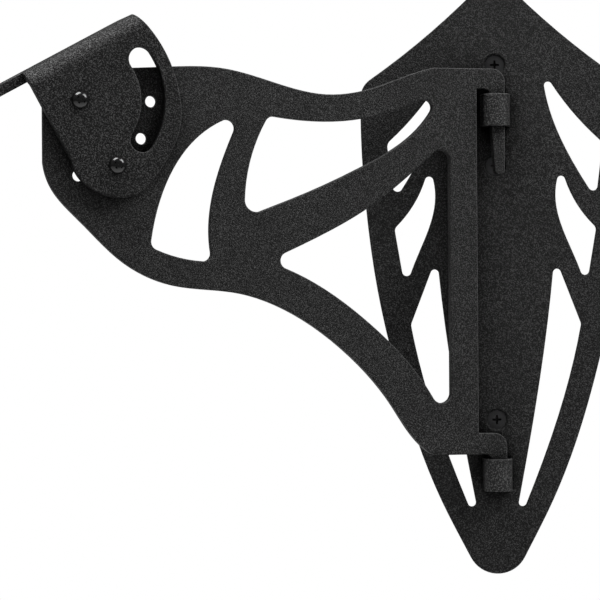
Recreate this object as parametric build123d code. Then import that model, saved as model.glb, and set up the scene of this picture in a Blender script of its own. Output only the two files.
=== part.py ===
"""Swinging bicycle wall rack: a leaf-shaped wall plate, a lift-off swing arm and a tilting cradle.

Units are millimetres. The wall is the plane y = 0, with the rack on its -Y side, +X to the right
and +Z up. The origin is on the wall, on the wall plate's centreline, halfway between the two
hinge barrels. The arm is modelled swung a little way out from the wall, to the left.
"""
import os
from math import cos, radians, sin, sqrt

from build123d import *

# Plates
WALL_THICKNESS = 5.0        # wall plate
ARM_THICKNESS = 5.0         # swing arm
CRADLE_THICKNESS = 6.35     # cradle bracket, quarter-inch plate
EDGE_ROUND = 0.4            # softened edge of every cut plate, under its powder coat

# Hinge: two barrels on the wall plate take two pins cut in one piece with the arm
BARREL_RADIUS = 8.5
BORE_RADIUS = 5.65
BARREL_LENGTH = 19.5
BARREL_Z = 110.0            # height of a barrel's middle above and below the origin
HINGE_Y = -(WALL_THICKNESS + BARREL_RADIUS)
ARM_SWING = 15.0            # degrees that the arm stands out from the wall as modelled
PIN_HALF_WIDTH = 5.0        # at the barrel's rim, where the arm's weight rests
HOOK_GAP = 3.0              # between a barrel's rim and the hook above it
SEAT_DEPTH = 0.55           # how far the pin's flare starts below the rim
UPPER_PIN_LENGTH = 48.5     # below the upper barrel's rim, well past the barrel
LOWER_PIN_LENGTH = 16.0     # below the lower barrel's rim, so it stays inside the barrel

# Wall screws: 6 mm countersunk wood screws on the centreline
WALL_SCREWS = {"top": 138.0, "middle": 77.0, "bottom": -77.0}
WALL_SCREW_LENGTH = 50.0
WALL_SCREW_RADIUS = 3.0
WALL_SCREW_ROOT = 2.1       # core of the threaded part
WALL_HEAD_RADIUS = 5.7
COUNTERSINK_RADIUS = 6.7
WALL_HOLE_RADIUS = 3.3
NECK_RADIUS = 3.2           # thicker neck where the screw passes through the plate
NECK_END = 4.5              # from the top of the head, just behind the plate
PLAIN_SHANK = 19.0          # unthreaded length, from the top of the head
THREAD_PITCH = 3.0
POINT_LENGTH = 7.0

# Arm: distances from the hinge axis, and heights
POST_INNER = 12.9           # the post's edge next to the barrels
PIVOT = (256.4, 112.9)      # cradle pivot hole, distance out and height
ARM_END_RADIUS = 20.5       # the arm's outer end, concentric with the pivot
ARM_TOP = 134.9
TAB_TOP = -84.5             # upper edge of the lower hook
HOOK_CORNER = 8.0
INDEX_RADIUS = 43.4         # four holes on a circle about the pivot, 30 degrees apart
INDEX_STEP = 30.0
INDEX_HOLE_RADIUS = 3.4
PIVOT_HOLE_RADIUS = 3.07

# Cradle: its own frame has x out along the tray, y up through the tray and z back from its face
INDEX_IN_USE = 60.0         # the hole the cradle is screwed to, counted from the hinge side
TRAY_TILT = 28.3            # how far the tray slopes down outwards
TRAY_TOP = 29.4             # height of the tray's upper face above the pivot
BEND_OUTER = 10.4
TRAY_INNER_END = -53.0
TRAY_BEND_END = 21.2        # the bent edge stops here and the tray goes on outwards
TRAY_DEPTH = 55.0
LIP_X = 60.0                # outer face of the upturned lip
LIP_HEIGHT = 34.0           # above the tray
TRAY_CORNER = 8.0
SLOT_RADIUS = 43.2
SLOT_HALF_WIDTH = 7.1
SLOT_START = -29.5          # degrees from straight below the pivot, towards the hinge
SLOT_END = -95.5
SPACER_THICKNESS = 1.5      # keeps the inside of the bend clear of the arm's edge
SPACER_RADIUS = 7.0
FACE_GAP = 0.1              # running gap on each face of the arm

# Cradle fasteners: 6 mm button-head screws with nylon-insert lock nuts
SCREW_RADIUS = 3.0
SCREW_LENGTH = 25.0
BUTTON_RADIUS = 5.2
BUTTON_HEIGHT = 3.3
BUTTON_RIM = 0.5
WASHER_RADIUS = 6.0
WASHER_THICKNESS = 1.6
NUT_ACROSS_FLATS = 10.0
NUT_HEX_HEIGHT = 4.4
NUT_HEIGHT = 6.0
NUT_COLLAR_RADIUS = 4.6
INSERT_RADIUS = 3.9
INSERT_HEIGHT = 1.2

# Cross recess in every screw head
RECESS_SPAN = 5.4
RECESS_WIDTH = 1.25
RECESS_DEPTH = 2.3
RECESS_TAPER = 10.0


def outline(sides, corners):
    """A face from its sides, each a list of points: 2 are a line, 3 an arc and more a smooth curve.
    corners is a list of (point, radius) pairs for the vertices that are rounded."""
    with BuildSketch() as sketch:
        with BuildLine():
            for side in sides:
                if len(side) == 2:
                    Line(*side)
                elif len(side) == 3:
                    ThreePointArc(*side)
                else:
                    Spline(*side)
        make_face()
        for point, radius in corners:
            vertex = sketch.vertices().sort_by_distance((point[0], point[1], 0))[0]
            fillet(vertex, radius)
    return sketch.sketch


def soften(plate, axis):
    """The plate with both rims of its flat faces rounded over, where axis is the plate's normal."""
    faces = plate.faces().filter_by(axis).sort_by(axis)
    return fillet(faces[0].edges() + faces[-1].edges(), EDGE_ROUND)


def disc(radius, height, x=0.0, y=0.0, z=0.0):
    """A cylinder standing on the plane z, with its axis at x, y."""
    bottom = (Align.CENTER, Align.CENTER, Align.MIN)
    return Pos(x, y, z) * Cylinder(radius, height, align=bottom)


def cross_recess():
    """The cut of a cross recess, from the plane z = 0 down."""
    cross = Rectangle(RECESS_SPAN, RECESS_WIDTH) + Rectangle(RECESS_WIDTH, RECESS_SPAN)
    cross += Rectangle(0.45 * RECESS_SPAN, 0.45 * RECESS_SPAN, rotation=45)
    return extrude(cross, -RECESS_DEPTH, taper=RECESS_TAPER)


# Wall plate, drawn face on: x is across and y is up, with the wall at z = 0

def wall_plate():
    """Leaf-shaped plate with three openings on each side and three countersunk holes."""
    shoulder = (81.2, 125.7)
    apex = (0.0, 194.8)
    roof = [apex, (48.3, 150.0), shoulder]
    tip = (0.0, -193.2)
    side = [shoulder, (81.3, 100.0), (78.2, 49.9), (71.0, -2.1), (62.1, -42.0), (51.4, -80.0),
            (32.3, -129.2), (21.8, -150.0), tip]
    other_side = [(-x, y) for x, y in side]
    other_roof = [(-x, y) for x, y in roof]
    leaf = outline(
        [roof, side, other_roof, other_side],
        [(apex, 17.5), (shoulder, 13.0), (other_side[0], 13.0), (tip, 18.4)],
    )
    leaf -= leaf_openings()
    leaf -= mirror(leaf_openings(), Plane.YZ)
    plate = soften(extrude(leaf, WALL_THICKNESS), Axis.Z)
    cone_height = COUNTERSINK_RADIUS - WALL_HOLE_RADIUS
    for height in WALL_SCREWS.values():
        cone = Cone(WALL_HOLE_RADIUS, COUNTERSINK_RADIUS, cone_height)
        plate -= Pos(0, height, WALL_THICKNESS - cone_height / 2) * cone
        plate -= disc(WALL_HOLE_RADIUS, WALL_THICKNESS, 0, height)
    return plate


def leaf_openings():
    """The three teardrop openings to the right of the centreline, each nested under the last."""
    top, shoulder, foot = (28.8, 136.6), (65.6, 90.8), (61.2, 56.0)
    upper = outline(
        [[top, (48.1, 108.6), shoulder], [shoulder, foot],
         [foot, (47.8, 77.7), (38.0, 97.4), top]],
        [(top, 2.6), (shoulder, 5.5), (foot, 3.0)],
    )
    top, shoulder, foot = (40.4, 77.0), (61.3, 39.2), (54.6, -0.3)
    middle = outline(
        [[top, (47.6, 57.0), shoulder], [shoulder, foot],
         [foot, (46.8, 23.8), (39.6, 41.4), top]],
        [(top, 2.6), (shoulder, 4.0), (foot, 2.8)],
    )
    top, shoulder, foot = (35.5, 23.1), (51.7, -19.1), (8.4, -150.4)
    lower = outline(
        [[top, shoulder], [shoulder, (44.0, -53.0), (31.0, -93.9), foot],
         [foot, (21.7, -79.6), (30.9, -20.0), top]],
        [(top, 2.6), (shoulder, 4.5), (foot, 2.5)],
    )
    return upper + middle + lower


def barrel():
    """A short tube with its axis on Z and its middle at the origin."""
    tube = Cylinder(BARREL_RADIUS, BARREL_LENGTH) - Cylinder(BORE_RADIUS, BARREL_LENGTH)
    return fillet(tube.edges().filter_by(GeomType.CIRCLE), EDGE_ROUND)


def weld_bead(side):
    """The bead that fills the corner between a barrel and the plate, side -1 left or 1 right."""
    leg = 0.55 * BARREL_RADIUS
    inner = 0.35 * BARREL_RADIUS
    foot = BARREL_RADIUS + 0.5
    plate_y = BARREL_RADIUS
    corner = (side * inner, plate_y)
    toe = (side * foot, plate_y)
    crown = (side * (foot - 0.9), plate_y - 0.6 * leg)
    shoulder = (side * sqrt(BARREL_RADIUS ** 2 - (plate_y - leg) ** 2), plate_y - leg)
    section = outline([[corner, toe], [toe, crown, shoulder], [shoulder, corner]], [])
    bead = Pos(0, 0, -BARREL_LENGTH / 2) * extrude(section, BARREL_LENGTH)
    return bead - Cylinder(BARREL_RADIUS, BARREL_LENGTH)


def wall_screw():
    """Countersunk wood screw with its axis on Z, the flat of its head at z = 0 and its point down.
    Its thread is a stack of closed rings."""
    cone_foot = NECK_RADIUS - WALL_HEAD_RADIUS
    profile = [(0, 0), (WALL_HEAD_RADIUS, 0), (NECK_RADIUS, cone_foot), (NECK_RADIUS, -NECK_END),
               (WALL_SCREW_RADIUS, -NECK_END), (WALL_SCREW_RADIUS, -PLAIN_SHANK),
               (WALL_SCREW_ROOT, -PLAIN_SHANK - 1.0)]
    thread_length = WALL_SCREW_LENGTH - PLAIN_SHANK - POINT_LENGTH
    for turn in range(1, int(thread_length / THREAD_PITCH) + 1):
        crest = -PLAIN_SHANK - turn * THREAD_PITCH
        profile.append((WALL_SCREW_ROOT, crest + 0.8))
        profile.append((WALL_SCREW_RADIUS, crest))
        profile.append((WALL_SCREW_ROOT, crest - 0.8))
    profile.append((WALL_SCREW_ROOT, POINT_LENGTH - WALL_SCREW_LENGTH))
    profile.append((0, -WALL_SCREW_LENGTH))
    section = make_face(Polyline(*profile, close=True))
    return revolve(Plane.XZ * section, Axis.Z) - cross_recess()


# Swing arm, drawn face on: x is the distance out from the hinge axis and y is up

def pin_sides(rim, hook, length, end_inner):
    """The pin below a hook, from the hook's underside inwards and down, round its end and up to
    the hook's outer edge. rim is the height of the barrel's rim and hook that of the underside."""
    outer = -PIN_HALF_WIDTH
    end = rim - length
    seat = rim - SEAT_DEPTH
    flare = hook - seat
    knee = flare * sqrt(0.5)
    return [
        [(PIN_HALF_WIDTH + flare, hook), (PIN_HALF_WIDTH + flare - knee, hook - flare + knee),
         (PIN_HALF_WIDTH, seat)],
        [(PIN_HALF_WIDTH, seat), (end_inner, end)],
        [(end_inner, end), (outer + 0.3, end)],
        [(outer + 0.3, end), (outer, seat)],
    ]


def swing_arm():
    """One flat plate: a post with two hooked pins, and a curved three-window web out to the
    rounded end that carries the cradle."""
    rim_top = BARREL_Z + BARREL_LENGTH / 2
    rim_low = -BARREL_Z + BARREL_LENGTH / 2
    hook_top = rim_top + HOOK_GAP
    hook_low = rim_low + HOOK_GAP
    outer = -PIN_HALF_WIDTH
    upper_end = rim_top - UPPER_PIN_LENGTH
    lower_end = rim_low - LOWER_PIN_LENGTH
    upper_pin = pin_sides(rim_top, hook_top, UPPER_PIN_LENGTH, 1.2)
    lower_pin = pin_sides(rim_low, hook_low, LOWER_PIN_LENGTH, 3.9)
    pivot_x, pivot_y = PIVOT
    end_x = pivot_x + ARM_END_RADIUS
    end_top = pivot_y + ARM_END_RADIUS
    end_knee = ARM_END_RADIUS * sqrt(0.5)
    flank = (end_x, 77.1)
    heel = (42.0, hook_low)
    neck = (40.0, ARM_TOP)
    top_edge = [neck, (54.0, 130.9), (76.0, 122.9), (107.2, 118.3), (138.9, 125.1),
                (169.9, 133.0), (200.1, 133.6), (pivot_x, end_top)]
    belly = [flank, (270.7, 59.8), (255.0, 42.6), (229.7, 18.7), (201.0, 5.4), (161.1, 0.5),
             (137.5, -7.1), (97.7, -33.1), (67.0, -67.1), (56.4, -83.1), heel]
    sides = [
        *upper_pin,
        [(outer, rim_top - SEAT_DEPTH), (outer, ARM_TOP)],
        [(outer, ARM_TOP), neck],
        top_edge,
        [(pivot_x, end_top), (pivot_x + end_knee, pivot_y + end_knee), (end_x, pivot_y)],
        [(end_x, pivot_y), flank],
        belly,
        [heel, lower_pin[0][0]],
        *lower_pin,
        [(outer, rim_low - SEAT_DEPTH), (outer, TAB_TOP)],
        [(outer, TAB_TOP), (POST_INNER, TAB_TOP)],
        [(POST_INNER, TAB_TOP), (POST_INNER, hook_top)],
        [(POST_INNER, hook_top), upper_pin[0][0]],
    ]
    corners = [
        ((outer, ARM_TOP), HOOK_CORNER),
        ((outer, TAB_TOP), HOOK_CORNER),
        ((POST_INNER, TAB_TOP), 0.8),
        ((POST_INNER, hook_top), 0.8),
        ((1.2, upper_end), 2.4),
        ((outer + 0.3, upper_end), 2.4),
        ((3.9, lower_end), 2.4),
        ((outer + 0.3, lower_end), 2.4),
        (heel, 12.0),
    ]
    web = outline(sides, corners)
    web -= arm_windows()
    web -= Pos(pivot_x, pivot_y) * Circle(PIVOT_HOLE_RADIUS)
    for step in range(4):
        angle = radians(180.0 + step * INDEX_STEP)
        centre = Pos(pivot_x + INDEX_RADIUS * cos(angle), pivot_y + INDEX_RADIUS * sin(angle))
        web -= centre * Circle(INDEX_HOLE_RADIUS)
    plate = Pos(0, 0, -ARM_THICKNESS / 2) * extrude(web, ARM_THICKNESS)
    return soften(plate, Axis.Z)


def arm_windows():
    """The arm's three openings: a leaf next to the cradle, one under the top limb and one between
    the post and the lower limb."""
    top, foot, heel = (158.4, 105.8), (176.3, 19.3), (213.8, 28.0)
    leaf = outline(
        [[top, (170.1, 77.5), (177.5, 48.4), foot], [foot, (193.3, 20.9), heel],
         [heel, (207.0, 57.6), (191.5, 85.6), top]],
        [(top, 5.0), (foot, 4.6), (heel, 5.0)],
    )
    outer, inner, foot = (141.8, 105.5), (36.0, 119.8), (156.6, 45.4)
    upper = outline(
        [[outer, (109.9, 102.2), (84.0, 104.1), (62.0, 110.0), inner],
         [inner, (54.1, 94.3), (83.6, 76.0), (115.9, 61.1), foot], [foot, (154.9, 72.1), outer]],
        [(outer, 5.5), (inner, 4.6), (foot, 7.0)],
    )
    point, foot, top = (143.7, 19.2), (30.1, -88.1), (30.1, 93.5)
    lower = outline(
        [[point, (122.6, 10.7), (82.2, -16.7), (46.6, -54.7), foot], [foot, top],
         [top, (60.7, 66.1), (81.7, 50.5), (103.5, 38.0), point]],
        [(point, 5.0), (foot, 6.0), (top, 6.0)],
    )
    return leaf + upper + lower


# Cradle bracket, drawn in its own frame about the pivot

def index_hole():
    """Where the index screw goes through the cradle, in the cradle's frame."""
    angle = radians(180.0 + INDEX_IN_USE + TRAY_TILT)
    return INDEX_RADIUS * cos(angle), INDEX_RADIUS * sin(angle)


def face_plate():
    """The flat face of the cradle, a rounded shield with a curved slot that shows which of the
    arm's index holes are free."""
    inner_top = (TRAY_INNER_END, TRAY_TOP)
    outer_top = (TRAY_BEND_END, TRAY_TOP)
    hip = (TRAY_BEND_END, -28.0)
    shield = outline(
        [[inner_top, outer_top], [outer_top, hip],
         [hip, (17.0, -51.0), (-1.5, -63.6), (-23.0, -57.5), (-44.8, -41.5), (-56.0, -16.5),
          (-58.0, 4.0), inner_top]],
        [],
    )
    cap = SLOT_HALF_WIDTH
    slot = Sketch()
    for arc_end in (SLOT_START, SLOT_END):
        angle = radians(arc_end - 90.0)
        slot += Pos(SLOT_RADIUS * cos(angle), SLOT_RADIUS * sin(angle)) * Circle(cap)
    sweep_angle = SLOT_START - SLOT_END
    band = outline(
        [
            [polar(SLOT_RADIUS + cap, SLOT_END), polar(SLOT_RADIUS + cap, SLOT_END + sweep_angle / 2),
             polar(SLOT_RADIUS + cap, SLOT_START)],
            [polar(SLOT_RADIUS + cap, SLOT_START), polar(SLOT_RADIUS - cap, SLOT_START)],
            [polar(SLOT_RADIUS - cap, SLOT_START), polar(SLOT_RADIUS - cap, SLOT_END + sweep_angle / 2),
             polar(SLOT_RADIUS - cap, SLOT_END)],
            [polar(SLOT_RADIUS - cap, SLOT_END), polar(SLOT_RADIUS + cap, SLOT_END)],
        ],
        [],
    )
    return shield - (slot + band)


def polar(radius, angle):
    """A point at an angle from straight below the pivot, negative towards the hinge."""
    turn = radians(angle - 90.0)
    return radius * cos(turn), radius * sin(turn)


def folded_face():
    """The cradle's face plate with its upper edge bent back through a right angle."""
    thickness = CRADLE_THICKNESS
    inner_radius = BEND_OUTER - thickness
    bend_y = TRAY_TOP - BEND_OUTER
    knee = sqrt(0.5)
    foot_y = -80.0
    seam = BEND_OUTER + 1.0
    bend_outside = [(0, bend_y), (BEND_OUTER * (1 - knee), bend_y + BEND_OUTER * knee),
                    (BEND_OUTER, TRAY_TOP)]
    bend_inside = [(BEND_OUTER, TRAY_TOP - thickness),
                   (BEND_OUTER - inner_radius * knee, bend_y + inner_radius * knee),
                   (thickness, bend_y)]
    section = outline(
        [[(0, foot_y), (0, bend_y)], bend_outside, [bend_outside[-1], (seam, TRAY_TOP)],
         [(seam, TRAY_TOP), (seam, TRAY_TOP - thickness)],
         [(seam, TRAY_TOP - thickness), bend_inside[0]], bend_inside,
         [(thickness, bend_y), (thickness, foot_y)], [(thickness, foot_y), (0, foot_y)]],
        [],
    )
    side_on = Plane((LIP_X, 0, 0), x_dir=(0, 0, 1), z_dir=(-1, 0, 0))
    folded = (side_on * extrude(section, 3 * LIP_X)) & extrude(face_plate(), seam)
    rims = [edge for edge in folded.edges().filter_by_position(Axis.Y, foot_y, bend_y - 1.0)
            if edge.center().Z in (0, thickness)]
    return fillet(rims, EDGE_ROUND)


def tray_and_lip():
    """The flat tray, and the lip bent up at its outer end, both behind the first bend."""
    thickness = CRADLE_THICKNESS
    inner_radius = BEND_OUTER - thickness
    under = TRAY_TOP - thickness
    bend_x, bend_y = LIP_X - BEND_OUTER, under + BEND_OUTER
    top = TRAY_TOP + LIP_HEIGHT
    knee = sqrt(0.5)
    section = outline(
        [[(TRAY_INNER_END, under), (TRAY_INNER_END, TRAY_TOP)],
         [(TRAY_INNER_END, TRAY_TOP), (bend_x, TRAY_TOP)],
         [(bend_x, TRAY_TOP), (bend_x + inner_radius * knee, bend_y - inner_radius * knee),
          (LIP_X - thickness, bend_y)],
         [(LIP_X - thickness, bend_y), (LIP_X - thickness, top)],
         [(LIP_X - thickness, top), (LIP_X, top)],
         [(LIP_X, top), (LIP_X, bend_y)],
         [(LIP_X, bend_y), (bend_x + BEND_OUTER * knee, bend_y - BEND_OUTER * knee), (bend_x, under)],
         [(bend_x, under), (TRAY_INNER_END, under)]],
        [],
    )
    plate = Pos(0, 0, BEND_OUTER) * extrude(section, TRAY_DEPTH - BEND_OUTER)
    inner_corner = plate.edges().filter_by(Axis.Y).group_by(Axis.X)[0].sort_by(Axis.Z)[-1]
    lip_corners = plate.edges().filter_by(Axis.X).group_by(Axis.Y)[-1]
    plate = fillet([inner_corner, *lip_corners], TRAY_CORNER)
    return fillet(plate.edges().filter_by(Axis.X).group_by(Axis.Z)[-1], EDGE_ROUND)


def cradle_bracket():
    """One bent plate: the flat face on the arm, a tray bent back over the arm's end, and a lip
    bent up at the tray's outer end."""
    bracket = folded_face() + tray_and_lip()
    index_x, index_y = index_hole()
    for x, y in ((0, 0), (index_x, index_y)):
        bracket -= disc(SCREW_RADIUS + 0.2, CRADLE_THICKNESS, x, y)
    return bracket


# Cradle fasteners, each with its axis on Z and its head at z = 0 and below

def button_screw():
    """Button-head screw with a cross recess, its shank running up from z = 0."""
    dome = (0.72 * BUTTON_RADIUS, -0.75 * BUTTON_HEIGHT)
    section = outline(
        [[(0, -BUTTON_HEIGHT), dome, (BUTTON_RADIUS, -BUTTON_RIM)],
         [(BUTTON_RADIUS, -BUTTON_RIM), (BUTTON_RADIUS, 0)],
         [(BUTTON_RADIUS, 0), (SCREW_RADIUS, 0)],
         [(SCREW_RADIUS, 0), (SCREW_RADIUS, SCREW_LENGTH - 0.6)],
         [(SCREW_RADIUS, SCREW_LENGTH - 0.6), (SCREW_RADIUS - 0.6, SCREW_LENGTH)],
         [(SCREW_RADIUS - 0.6, SCREW_LENGTH), (0, SCREW_LENGTH)],
         [(0, SCREW_LENGTH), (0, -BUTTON_HEIGHT)]],
        [],
    )
    recess = Pos(0, 0, -BUTTON_HEIGHT) * Rot(180, 0, 25) * cross_recess()
    return revolve(Plane.XZ * section, Axis.Z) - recess


def washer():
    """Plain washer, up from z = 0."""
    ring = disc(WASHER_RADIUS, WASHER_THICKNESS) - disc(SCREW_RADIUS + 0.2, WASHER_THICKNESS)
    return chamfer(ring.edges().group_by(Axis.Z)[-1].sort_by(SortBy.RADIUS)[-1], 0.3)


def spacer():
    """Thin nylon washer between the cradle and the arm, up from z = 0."""
    return disc(SPACER_RADIUS, SPACER_THICKNESS) - disc(SCREW_RADIUS, SPACER_THICKNESS)


def lock_nut():
    """Hexagon nut with a collar above it for the nylon insert, up from z = 0."""
    hexagon = RegularPolygon(NUT_ACROSS_FLATS / 2, 6, major_radius=False)
    blank = extrude(hexagon, NUT_HEX_HEIGHT)
    corner_radius = NUT_ACROSS_FLATS / sqrt(3)
    barrel_shape = Cone(corner_radius + 0.9, corner_radius - 1.1, NUT_HEX_HEIGHT,
                        align=(Align.CENTER, Align.CENTER, Align.MIN))
    blank = blank & barrel_shape
    collar = disc(NUT_COLLAR_RADIUS, NUT_HEIGHT)
    nut = blank + fillet(collar.edges().group_by(Axis.Z)[-1], 0.7)
    nut -= disc(SCREW_RADIUS, NUT_HEIGHT)
    return nut - disc(INSERT_RADIUS, INSERT_HEIGHT, z=NUT_HEIGHT - INSERT_HEIGHT - 0.3)


def nut_insert():
    """Nylon ring gripped under the nut's collar, up from the plane where it sits in the nut."""
    ring = disc(INSERT_RADIUS, INSERT_HEIGHT) - disc(SCREW_RADIUS, INSERT_HEIGHT)
    return Pos(0, 0, NUT_HEIGHT - INSERT_HEIGHT - 0.3) * ring


# Placing everything on the wall

swing = radians(ARM_SWING)
arm_plane = Plane((0, HINGE_Y, 0), x_dir=(-cos(swing), -sin(swing), 0), z_dir=(-sin(swing), cos(swing), 0))
arm_place = arm_plane.location
wall_place = Plane((0, 0, 0), x_dir=(1, 0, 0), z_dir=(0, -1, 0)).location
arm_front = CRADLE_THICKNESS + SPACER_THICKNESS + FACE_GAP
cradle_face = -(ARM_THICKNESS / 2 + arm_front)
cradle_place = arm_place * Pos(PIVOT[0], PIVOT[1], cradle_face) * Rot(0, 0, -TRAY_TILT)
washer_z = arm_front + ARM_THICKNESS + FACE_GAP
nut_z = washer_z + WASHER_THICKNESS

parts = {
    "wall_plate": wall_place * wall_plate(),
    "swing_arm": arm_place * swing_arm(),
    "cradle_bracket": cradle_place * cradle_bracket(),
}

for name, height in (("upper", BARREL_Z), ("lower", -BARREL_Z)):
    place = Pos(0, HINGE_Y, height)
    parts[f"{name}_barrel"] = place * barrel()
    for side_name, side in (("left", -1), ("right", 1)):
        parts[f"{name}_weld_{side_name}"] = place * weld_bead(side)

head_depth = COUNTERSINK_RADIUS - WALL_HEAD_RADIUS
for name, height in WALL_SCREWS.items():
    parts[f"wall_screw_{name}"] = Pos(0, head_depth - WALL_THICKNESS, height) * Rot(90, 0, 0) * wall_screw()

for name, (x, y) in (("pivot", (0, 0)), ("index", index_hole())):
    place = cradle_place * Pos(x, y, 0)
    parts[f"{name}_screw"] = place * button_screw()
    parts[f"{name}_spacer"] = place * Pos(0, 0, CRADLE_THICKNESS) * spacer()
    parts[f"{name}_washer"] = place * Pos(0, 0, washer_z) * washer()
    parts[f"{name}_locknut"] = place * Pos(0, 0, nut_z) * Rot(0, 0, 10) * lock_nut()
    parts[f"{name}_locknut_insert"] = place * Pos(0, 0, nut_z) * nut_insert()

os.makedirs("parts", exist_ok=True)
for name, part in parts.items():
    export_step(part, f"parts/{name}.step")
    print(name, round(part.volume))
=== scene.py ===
"""Looks of the swinging bicycle wall rack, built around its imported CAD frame.

Metres, +Z up. The wall is the plane y = 0 and the rack hangs on its -Y side. Every CAD node stays
as it is and takes a procedural material; only the studio is added.
"""
import math

import bpy
from mathutils import Matrix, Vector


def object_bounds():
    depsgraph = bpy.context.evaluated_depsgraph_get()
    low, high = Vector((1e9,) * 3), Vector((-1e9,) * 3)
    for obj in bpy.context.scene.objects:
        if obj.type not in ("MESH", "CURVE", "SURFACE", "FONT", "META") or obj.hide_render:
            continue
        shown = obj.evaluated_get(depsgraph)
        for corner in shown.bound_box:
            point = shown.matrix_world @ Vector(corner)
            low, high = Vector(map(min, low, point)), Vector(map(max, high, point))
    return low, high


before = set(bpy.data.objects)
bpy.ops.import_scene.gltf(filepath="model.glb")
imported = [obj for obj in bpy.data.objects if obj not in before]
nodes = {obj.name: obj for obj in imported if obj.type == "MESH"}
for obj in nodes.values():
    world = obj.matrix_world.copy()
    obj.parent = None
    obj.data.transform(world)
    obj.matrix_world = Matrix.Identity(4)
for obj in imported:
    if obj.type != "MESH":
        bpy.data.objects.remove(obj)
cad_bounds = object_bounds()

# Camera: a long lens square to the wall, a little left of the plate, rolled by 0.4 degrees
FOCAL_MM = 180.0
SENSOR_MM = 36.0
CAMERA_PLACE = Vector((-0.1189, -1.823, -0.00366))
CAMERA_ROLL = math.radians(-0.40)

# Studio
AMBIENT_BELOW = 0.0         # light from the surround, against the white that the camera sees
AMBIENT_ABOVE = 0.25
FLOOR_DROP = 0.8            # floor below the rack's lowest point
FLOOR_HALF = 4.0
FLOOR_GREY = 0.86
FLOOR_GLOW = 0.3            # keeps the far parts of the floor pale

# Powder coat: greys are linear, noise scales are in cycles per metre
COAT_DARK = 0.0005          # pits between the grains
GRAIN_SCALE = 1500.0
PEBBLE_PER_GRAIN = 2.0      # pebbles are this many times finer than the grains
CLOUD_SCALE = 38.0
COAT_ROUGHNESS = (0.42, 0.6)
COAT_RELIEF = 0.0006
HOLLOW_REACH = 0.02         # how far, in metres, things around the coat cast painted shade on it
PAINTED_RIM_REACH = 0.0009       # how far from a corner the painted highlight and shade on corners reach
CORNER_ROUND = 0.001        # the coat's own softening of a corner
RIM_LIGHT_SIDE = (0.5, 0.0, 0.87)  # corners facing this way, towards the key lamp, get a painted highlight; the rest get painted shade
RIPPLE_SCALE = 157.0        # weld ripples 2 mm apart


# Node-graph helpers

def new_material(name):
    """An empty node material and its graph."""
    material = bpy.data.materials.new(name)
    material.use_nodes = True
    graph = material.node_tree
    graph.nodes.clear()
    return material, graph


def add(graph, kind, inputs=None, **settings):
    """A node with its settings, and its input sockets set to values or linked to other sockets."""
    node = graph.nodes.new(kind)
    for key, value in settings.items():
        setattr(node, key, value)
    for key, value in (inputs or {}).items():
        if isinstance(value, bpy.types.NodeSocket):
            graph.links.new(value, node.inputs[key])
        else:
            node.inputs[key].default_value = value
    return node


def surface(graph, kind, inputs):
    """The graph's shader, linked to a material output."""
    shader = add(graph, kind, inputs)
    add(graph, "ShaderNodeOutputMaterial", {"Surface": shader.outputs["BSDF"]})


def ramp(graph, value, stops):
    """A colour ramp of (position, grey) stops on a value."""
    node = add(graph, "ShaderNodeValToRGB", {"Fac": value})
    elements = node.color_ramp.elements
    while len(elements) < len(stops):
        elements.new(0.5)
    for element, (position, grey) in zip(elements, stops):
        element.position = position
        element.color = (grey, grey, grey, 1.0)
    return node.outputs["Color"]


def noise(graph, scale, detail=2.0, roughness=0.5):
    """Noise over the object's own coordinates; scale is in cycles per metre."""
    place = add(graph, "ShaderNodeTexCoord").outputs["Object"]
    node = add(graph, "ShaderNodeTexNoise",
               {"Vector": place, "Scale": scale, "Detail": detail, "Roughness": roughness})
    return node.outputs["Fac"]


def maths(graph, operation, a, b=0.0):
    """A maths node on two values or sockets."""
    return add(graph, "ShaderNodeMath", {0: a, 1: b}, operation=operation).outputs["Value"]


def dot(graph, a, b):
    """The dot product of two vectors."""
    node = add(graph, "ShaderNodeVectorMath", {0: a, 1: b}, operation="DOT_PRODUCT")
    return node.outputs["Value"]


def tinted(graph, colour, factor):
    """A colour multiplied by a factor."""
    node = add(graph, "ShaderNodeMix", {0: 1.0, 6: colour, 7: factor}, data_type="RGBA",
               blend_type="MULTIPLY")
    return node.outputs[2]


def softened(graph, radius):
    """The surface's normal with its corners rounded by a radius in metres."""
    return add(graph, "ShaderNodeBevel", {"Radius": radius}, samples=6).outputs["Normal"]


def hollow_shade(graph, distance, closed, deepest):
    """1 in the open, falling to deepest where things nearer than a distance in metres leave open
    only the share closed of the surroundings, or less."""
    open_share = add(graph, "ShaderNodeAmbientOcclusion", {"Distance": distance}, samples=8)
    return add(graph, "ShaderNodeMapRange", {
        "Value": open_share.outputs["AO"], "From Min": closed, "From Max": 0.85,
        "To Min": deepest, "To Max": 1.0}).outputs["Result"]


def edge_mask(graph, radius):
    """Above 0 near corners, within a radius in metres, and 0 on flats."""
    true = add(graph, "ShaderNodeNewGeometry").outputs["Normal"]
    return maths(graph, "SUBTRACT", 1.0, dot(graph, softened(graph, radius), true))


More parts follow.
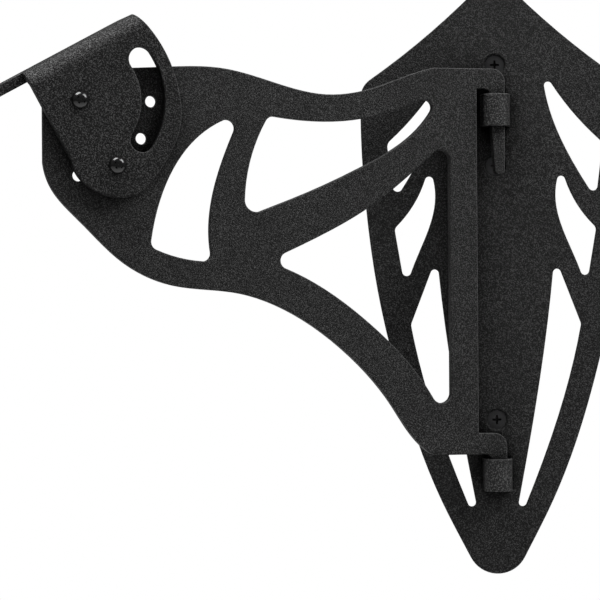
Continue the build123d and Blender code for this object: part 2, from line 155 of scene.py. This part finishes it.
def powder_coat(name, light, rim, specular, hollow, grain_scale=GRAIN_SCALE, crest=1.0,
                ripple=0.0):
    """Black textured powder coat: a fine pebbled skin with paler grains, painted shade in gaps
    and painted light on corners and upward bends. light is the grey of the grains and rim the grey
    of the painted highlight on corners facing the key lamp; other corners get painted shade.
    hollow is how bright the coat stays in deep gaps, of 1, under its painted shade. crest is how
    many times paler it is over a bend that turns upwards, a painted highlight.
    ripple is the height of weld ripples under it, against the grain's height of 1."""
    material, graph = new_material(name)
    grain = noise(graph, grain_scale, 1.5, 0.6)
    pebble = noise(graph, PEBBLE_PER_GRAIN * grain_scale, 1.0)
    cloud = noise(graph, CLOUD_SCALE, 2.0)

    middle = 0.12 * (COAT_DARK + light)
    mottle = ramp(graph, grain, [(0.43, COAT_DARK), (0.52, middle), (0.62, light)])
    drift_and_painted_light = ramp(graph, cloud, [(0.3, 0.84), (0.7, 1.16)])
    # painted shade: the coat's colour and sheen darken where nearby parts close in on it, in gaps
    # and under parts
    shade = hollow_shade(graph, HOLLOW_REACH, 0.4, hollow)
    drift_and_painted_light = maths(graph, "MULTIPLY", drift_and_painted_light, shade)
    # painted highlight: paler over a bend that turns upwards, where the overhead lamp shines
    facing = add(graph, "ShaderNodeTexCoord").outputs["Normal"]
    upward = add(graph, "ShaderNodeSeparateXYZ", {"Vector": facing}).outputs["Z"]
    painted_bend_highlight = ramp(graph, upward, [(0.08, 1.0), (0.45, crest), (0.8, crest), (0.87, 1.0)])
    drift_and_painted_light = maths(graph, "MULTIPLY", drift_and_painted_light, painted_bend_highlight)
    tone = tinted(graph, mottle, drift_and_painted_light)

    rounded = softened(graph, CORNER_ROUND)
    # painted rim light: corners facing up and to the right, towards the key lamp, get a painted
    # highlight and the other corners painted shade
    painted_rim_mask = ramp(graph, edge_mask(graph, PAINTED_RIM_REACH), [(0.01, 0.0), (0.12, 0.9)])
    corner = ramp(graph, dot(graph, rounded, RIM_LIGHT_SIDE), [(0.02, 2.0 * COAT_DARK), (0.3, rim)])
    colour = add(graph, "ShaderNodeMix", {0: painted_rim_mask, 6: tone, 7: corner}, data_type="RGBA")

    smooth, matt = COAT_ROUGHNESS
    rough = add(graph, "ShaderNodeMapRange", {
        "Value": pebble, "From Min": 0.3, "From Max": 0.7, "To Min": smooth, "To Max": matt})
    height = maths(graph, "ADD", maths(graph, "MULTIPLY", grain, 0.8),
                   maths(graph, "MULTIPLY", pebble, 0.4))
    if ripple:
        place = add(graph, "ShaderNodeTexCoord").outputs["Object"]
        wave = add(graph, "ShaderNodeTexWave",
                   {"Vector": place, "Scale": RIPPLE_SCALE, "Distortion": 2.0},
                   bands_direction="Z")
        height = maths(graph, "ADD", height,
                       maths(graph, "MULTIPLY", wave.outputs["Fac"], ripple))
    bump = add(graph, "ShaderNodeBump", {
        "Height": height, "Strength": 0.9, "Distance": COAT_RELIEF, "Normal": rounded})
    surface(graph, "ShaderNodeBsdfPrincipled", {
        "Base Color": colour.outputs[2], "Roughness": rough.outputs["Result"],
        "Specular IOR Level": maths(graph, "MULTIPLY", shade, specular),
        "Normal": bump.outputs["Normal"]})
    return material


def metal(name, colour, roughness, metallic, scratch=0.3, coat=0.0, reach=0.002):
    """Plated or oiled metal with fine turning scratches and slight tone changes, and painted shade
    where other parts close in on it.
    scratch is the strength of its relief, and reach is how far, in metres, things around it cast
    that painted shade."""
    material, graph = new_material(name)
    fine = noise(graph, 1800.0, 4.0, 0.7)
    broad = noise(graph, 220.0, 2.0)
    tint_and_painted_shade = ramp(graph, broad, [(0.3, 0.82), (0.7, 1.15)])
    # painted shade in recesses and where other parts crowd round the metal
    tint_and_painted_shade = maths(graph, "MULTIPLY", tint_and_painted_shade, hollow_shade(graph, reach, 0.35, 0.0))
    rough = add(graph, "ShaderNodeMapRange",
                {"Value": fine, "To Min": roughness * 0.75, "To Max": roughness * 1.3})
    bump = add(graph, "ShaderNodeBump", {"Height": fine, "Strength": scratch, "Distance": 0.00006})
    surface(graph, "ShaderNodeBsdfPrincipled", {
        "Base Color": tinted(graph, (*colour, 1.0), tint_and_painted_shade), "Metallic": metallic,
        "Roughness": rough.outputs["Result"], "Specular IOR Level": 0.35, "Coat Weight": coat,
        "Coat Roughness": 0.12, "Normal": bump.outputs["Normal"]})
    return material


def nylon(name, grey):
    """Moulded nylon with a faint satin grain."""
    material, graph = new_material(name)
    grain = noise(graph, 1500.0, 2.0)
    colour = ramp(graph, grain, [(0.3, grey * 0.8), (0.7, grey * 1.25)])
    bump = add(graph, "ShaderNodeBump", {"Height": grain, "Strength": 0.2, "Distance": 0.00005})
    surface(graph, "ShaderNodeBsdfPrincipled", {
        "Base Color": colour, "Roughness": 0.45, "Normal": bump.outputs["Normal"]})
    return material


def dress(material, *names):
    """Give CAD nodes a material in all their slots."""
    for name in names:
        for slot in nodes[name].material_slots:
            slot.material = material


# One black coat on every part; its greys differ from part to part to copy how brightly each is
# lit: painted light on the paler parts, most on the barrels, and painted shade on the wall plate
dress(powder_coat("wall_powder_coat", light=0.045, rim=0.06, specular=0.2, hollow=0.03),
      "wall_plate")
dress(powder_coat("arm_powder_coat", light=0.056, rim=0.20, specular=0.2, hollow=0.35),
      "swing_arm")
dress(powder_coat("cradle_powder_coat", light=0.053, rim=0.20, specular=0.15, hollow=0.2,
                  grain_scale=1250.0, crest=1.7),
      "cradle_bracket")
dress(powder_coat("barrel_powder_coat", light=0.078, rim=0.12, specular=0.3, hollow=0.1,
                  grain_scale=1100.0),
      "upper_barrel", "lower_barrel")
dress(powder_coat("weld_powder_coat", light=0.055, rim=0.10, specular=0.3, hollow=0.1, ripple=0.8),
      "upper_weld_left", "upper_weld_right", "lower_weld_left", "lower_weld_right")
dress(metal("black_oxide", (0.024, 0.024, 0.025), 0.5, 0.0, reach=0.015), "wall_screw_top",
      "wall_screw_middle", "wall_screw_bottom")
dress(metal("gloss_black_plate", (0.004, 0.004, 0.004), 0.18, 0.0, scratch=0.1, coat=0.4),
      "pivot_screw", "index_screw")
dress(metal("zinc_plate", (0.55, 0.56, 0.58), 0.3, 1.0), "pivot_washer", "index_washer",
      "pivot_locknut", "index_locknut")
dress(nylon("black_nylon", 0.02), "pivot_spacer", "index_spacer", "pivot_locknut_insert",
      "index_locknut_insert")


# Studio

def area_light(name, place, target, size, power):
    """A square soft light at a place, turned towards a target."""
    data = bpy.data.lights.new(name, "AREA")
    data.shape = "SQUARE"
    data.size = size
    data.energy = power
    light = bpy.data.objects.new(name, data)
    light.location = place
    light.rotation_euler = (Vector(target) - Vector(place)).to_track_quat("-Z", "Y").to_euler()
    bpy.context.scene.collection.objects.link(light)


def make_floor():
    """A wide pale floor below the rack."""
    low = cad_bounds[0][2] - FLOOR_DROP
    corners = [(x * FLOOR_HALF, y * FLOOR_HALF, low)
               for x, y in ((-1, -1), (1, -1), (1, 1), (-1, 1))]
    mesh = bpy.data.meshes.new("studio_floor")
    mesh.from_pydata(corners, [], [(0, 1, 2, 3)])
    floor = bpy.data.objects.new("studio_floor", mesh)
    bpy.context.scene.collection.objects.link(floor)
    material, graph = new_material("pale_floor")
    surface(graph, "ShaderNodeBsdfPrincipled", {
        "Base Color": (FLOOR_GREY, FLOOR_GREY, FLOOR_GREY, 1.0), "Roughness": 0.85,
        "Emission Color": (1.0, 1.0, 1.0, 1.0), "Emission Strength": FLOOR_GLOW})
    mesh.materials.append(material)


def make_world():
    """A white surround that lights the object more softly than it shows."""
    world = bpy.data.worlds.new("studio")
    world.use_nodes = True
    graph = world.node_tree
    graph.nodes.clear()
    direction = add(graph, "ShaderNodeTexCoord").outputs["Generated"]
    height = add(graph, "ShaderNodeSeparateXYZ", {"Vector": direction}).outputs["Z"]
    ambient = add(graph, "ShaderNodeMapRange", {
        "Value": height, "From Min": -1.0, "To Min": AMBIENT_BELOW, "To Max": AMBIENT_ABOVE})
    seen = add(graph, "ShaderNodeLightPath").outputs["Is Camera Ray"]
    strength = add(graph, "ShaderNodeMix",
                   {0: seen, 2: ambient.outputs["Result"], 3: 1.0}).outputs[0]
    background = add(graph, "ShaderNodeBackground",
                     {"Color": (1.0, 1.0, 1.0, 1.0), "Strength": strength})
    add(graph, "ShaderNodeOutputWorld", {"Surface": background.outputs["Background"]})
    bpy.context.scene.world = world
    bpy.context.scene.view_settings.view_transform = "Standard"


def make_camera():
    """The camera square to the wall, with its small roll."""
    data = bpy.data.cameras.new("camera")
    data.lens = FOCAL_MM
    data.sensor_width = SENSOR_MM
    data.clip_end = 50.0
    camera = bpy.data.objects.new("camera", data)
    upright = Matrix.Rotation(math.radians(90.0), 4, "X")
    roll = Matrix.Rotation(CAMERA_ROLL, 4, "Z")
    camera.matrix_world = Matrix.Translation(CAMERA_PLACE) @ upright @ roll
    bpy.context.scene.collection.objects.link(camera)
    bpy.context.scene.camera = camera


make_world()
make_floor()
make_camera()
area_light("key", (1.15, -0.5, 1.2), (-0.1, 0.0, 0.0), 1.0, 27.0)
area_light("overhead", (-0.6, -0.24, 1.5), (-0.15, 0.0, 0.05), 1.0, 37.0)
